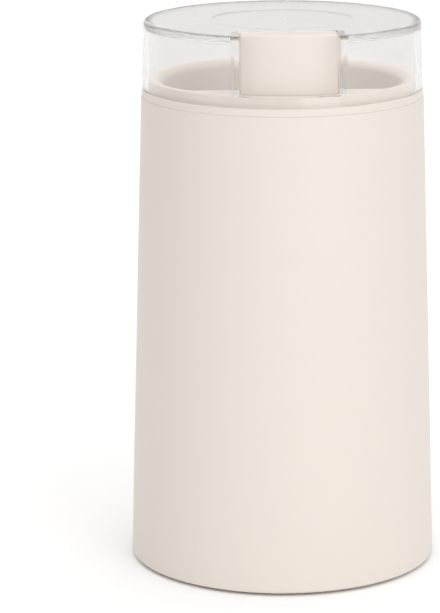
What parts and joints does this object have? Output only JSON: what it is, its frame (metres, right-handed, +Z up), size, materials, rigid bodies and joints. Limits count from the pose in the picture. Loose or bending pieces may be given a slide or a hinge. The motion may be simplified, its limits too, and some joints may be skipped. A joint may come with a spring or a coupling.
{
  "type": "electric spice grinder",
  "caption": "Tapered cream spice grinder with a clear lift-off lid, a push button set in the lid's edge, and a steel bowl and blade over an enclosed motor.",
  "frame": {"origin": "centre of the footprint, on the worktop under the feet", "axes": "+Z up along the grinder's axis, and the push button faces -Y"},
  "size_m": [0.095, 0.095, 0.1691],
  "materials": {
    "cream_plastic": "satin moulded ABS",
    "clear_plastic": "clear polished polycarbonate",
    "stainless_steel": "brushed stainless steel",
    "bright_steel": "bright zinc-plated steel",
    "electrical_steel": "varnished laminations",
    "cast_aluminium": "bead-blasted casting",
    "bronze": "sintered bronze",
    "copper": "enamelled copper wire and bars",
    "brass": "stamped brass",
    "carbon": "pressed carbon, dull",
    "black_rubber": "matt moulded rubber",
    "grey_rubber": "matt moulded silicone",
    "black_plastic": "moulded thermoset",
    "white_plastic": "moulded nylon",
    "grey_plastic": "glass-filled nylon, dull",
    "ochre_plastic": "capacitor case"
  },
  "bodies": {
    "casing": {"outer_housing": "cream_plastic", "motor_deck": "grey_plastic", "top_ring": "cream_plastic", "base_plate": "cream_plastic", "base_screws": "bright_steel", "rubber_feet": "grey_rubber", "inlet_grommet": "grey_rubber", "terminal_block": "white_plastic", "suppression_capacitor": "ochre_plastic", "grinding_bowl": "stainless_steel", "bowl_gasket": "grey_rubber", "shaft_seal": "black_rubber", "upper_bearing_bush": "bronze", "lower_bearing_bush": "bronze", "upper_bearing_bracket": "cast_aluminium", "lower_bearing_bracket": "cast_aluminium", "stator_core": "electrical_steel", "field_coils": "copper", "brush_holders": "brass", "carbon_brushes": "carbon", "brush_springs": "bright_steel", "rubber_mounts": "black_rubber", "motor_mount_screws": "bright_steel", "motor_through_screws": "bright_steel", "motor_nuts": "bright_steel", "switch_bracket": "white_plastic", "bracket_screws": "bright_steel", "microswitch": "black_plastic", "switch_screws": "bright_steel", "button_return_spring": "bright_steel"},
    "lid": {"lid": "clear_plastic"},
    "button": {"push_button": "cream_plastic"},
    "lever": {"switch_lever": "bright_steel"},
    "plunger": {"switch_plunger": "white_plastic"},
    "rotor": {"motor_shaft": "bright_steel", "armature_core": "electrical_steel", "armature_windings": "copper", "commutator": "copper", "cooling_fan": "white_plastic", "thrust_washers": "white_plastic", "blade_hub": "black_plastic", "grinding_blade": "stainless_steel", "blade_nut": "stainless_steel"}
  },
  "joints": [
    {"name": "lid_lift", "type": "slide", "parent": "casing", "child": "lid", "axis": [0, 0, 1], "range_m": [0, 0.1]},
    {"name": "button_press", "type": "slide", "parent": "casing", "child": "button", "axis": [0, 0, -1], "range_m": [0, 0.003], "stiffness_N_per_m": 650, "springref_m": -0.003, "deforming": ["button_return_spring"]},
    {"name": "lever_turn", "type": "hinge", "parent": "casing", "child": "lever", "pos_m": [-0.0129, -0.03383, 0.08842], "axis": [0, 1, 0], "range_deg": [0, 10.3]},
    {"name": "plunger_press", "type": "slide", "parent": "casing", "child": "plunger", "axis": [0, 0, -1], "range_m": [0, 0.00097]},
    {"name": "rotor_spin", "type": "hinge", "parent": "casing", "child": "rotor", "pos_m": [0, 0, 0], "axis": [0, 0, 1], "continuous": true}
  ],
  "couplings": [
    {"joint": "lever_turn", "follows": "button_press", "rad_per_m": 59.6},
    {"joint": "plunger_press", "follows": "button_press", "ratio": 0.32}
  ]
}
